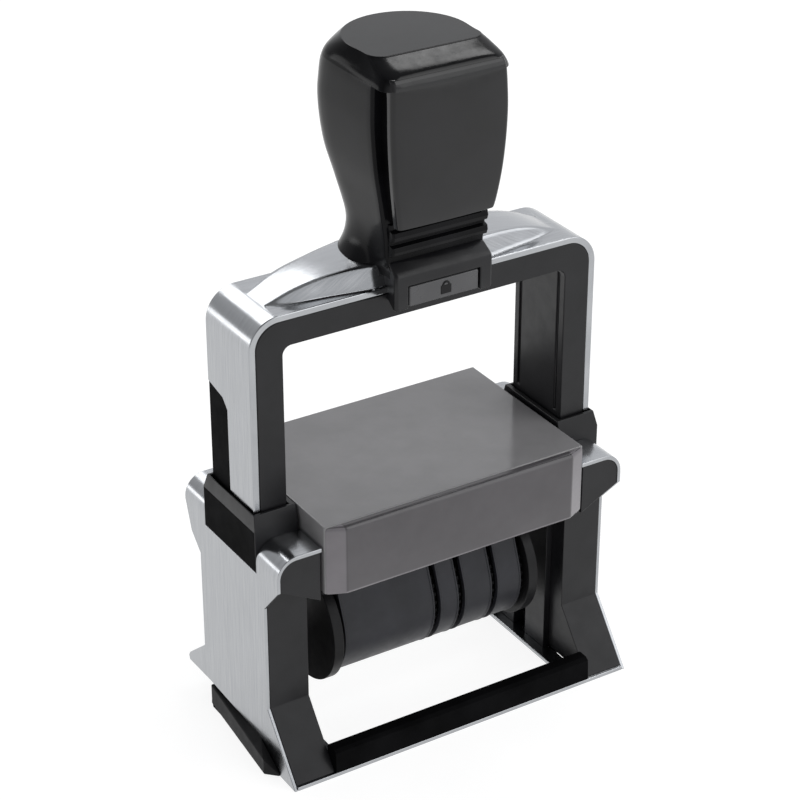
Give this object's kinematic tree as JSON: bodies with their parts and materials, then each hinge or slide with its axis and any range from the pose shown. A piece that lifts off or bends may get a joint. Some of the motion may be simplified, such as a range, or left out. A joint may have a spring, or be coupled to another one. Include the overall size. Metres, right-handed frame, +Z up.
{
  "type": "self-inking date stamp",
  "caption": "Self-inking phrase and date stamp with a sprung metal-clad frame, a turning band carrier, an ink cassette and a tall hand grip.",
  "frame": {"origin": "on the table, at the middle of the base's footprint", "axes": "+X to the right seen from the user, +Y to the back, +Z up along the travel of the frame"},
  "size_m": [0.0922, 0.0516, 0.1539],
  "materials": {
    "brushed_silver": "satin silver, fine brushed grain",
    "black_shell": "fine-grained black moulding",
    "gloss_grip": "glossy black grip",
    "rubber_foot": "matte black rubber",
    "smoke_housing": "smoky grey glossy plastic",
    "smoke_cassette": "darker smoky grey plastic",
    "ink_felt": "felt soaked with ink",
    "button_grey": "grey button",
    "steel": "plain steel",
    "carrier_black": "black moulding",
    "band_rubber": "blue-black print rubber",
    "wheel_black": "black setting wheels"
  },
  "bodies": {
    "base": {"left_cheek": "brushed_silver", "right_cheek": "brushed_silver", "bottom_plate": "brushed_silver", "left_column": "black_shell", "right_column": "black_shell", "front_bar": "black_shell", "rear_bar": "black_shell", "left_collar": "black_shell", "right_collar": "black_shell", "left_foot": "rubber_foot", "right_foot": "rubber_foot", "left_cam_rails": "black_shell", "right_cam_rails": "black_shell", "pad_housing": "smoke_housing", "cassette_rails": "smoke_housing", "left_guide_rod": "steel", "right_guide_rod": "steel", "left_spring": "steel", "right_spring": "steel", "base_screws": "steel"},
    "frame": {"frame_shell": "brushed_silver", "frame_liner": "black_shell", "saddle": "black_shell", "handle_body": "gloss_grip", "handle_panel": "gloss_grip", "handle_cap": "gloss_grip", "handle_bolt": "steel", "left_bush": "steel", "right_bush": "steel", "lock_leaf": "steel"},
    "lock": {"lock_button": "button_grey"},
    "cassette": {"cassette_tray": "smoke_cassette", "cassette_front": "smoke_cassette", "ink_pad": "ink_felt"},
    "carrier": {"left_end_plate": "carrier_black", "right_end_plate": "carrier_black", "left_trunnion": "carrier_black", "right_trunnion": "carrier_black", "left_axle": "steel", "right_axle": "steel", "left_cam_pin": "steel", "right_cam_pin": "steel", "anvil": "carrier_black", "wheel_shaft": "steel", "phrase_band": "band_rubber", "day_band": "band_rubber", "month_band": "band_rubber", "year_band": "band_rubber"},
    "phrase_setting": {"phrase_wheel": "wheel_black"},
    "day_setting": {"day_wheel": "wheel_black"},
    "month_setting": {"month_wheel": "wheel_black"},
    "year_setting": {"year_wheel": "wheel_black"}
  },
  "joints": [
    {"name": "press", "type": "slide", "parent": "base", "child": "frame", "axis": [0, 0, -1], "range_m": [0, 0.0281], "stiffness_N_per_m": 300, "springref_m": -0.02, "deforming": ["left_spring", "right_spring"]},
    {"name": "carrier_turn", "type": "hinge", "parent": "frame", "child": "carrier", "pos_m": [0, 0, 0.0378], "axis": [1, 0, 0], "range_deg": [-1, 181]},
    {"name": "lock_push", "type": "slide", "parent": "frame", "child": "lock", "axis": [0, 1, 0], "range_m": [0, 0.0012], "stiffness_N_per_m": 400, "springref_m": -0.002},
    {"name": "cassette_slide", "type": "slide", "parent": "base", "child": "cassette", "axis": [0, -1, 0], "range_m": [0, 0.036]},
    {"name": "phrase_turn", "type": "hinge", "parent": "carrier", "child": "phrase_setting", "pos_m": [-0.0117, 0, 0.024], "axis": [1, 0, 0], "continuous": true},
    {"name": "day_turn", "type": "hinge", "parent": "carrier", "child": "day_setting", "pos_m": [0.0036, 0, 0.024], "axis": [1, 0, 0], "continuous": true},
    {"name": "month_turn", "type": "hinge", "parent": "carrier", "child": "month_setting", "pos_m": [0.0112, 0, 0.024], "axis": [1, 0, 0], "continuous": true},
    {"name": "year_turn", "type": "hinge", "parent": "carrier", "child": "year_setting", "pos_m": [0.0194, 0, 0.024], "axis": [1, 0, 0], "continuous": true}
  ],
  "couplings": [
    {"joint": "carrier_turn", "follows": "press", "rad_per_m": 111.8}
  ]
}
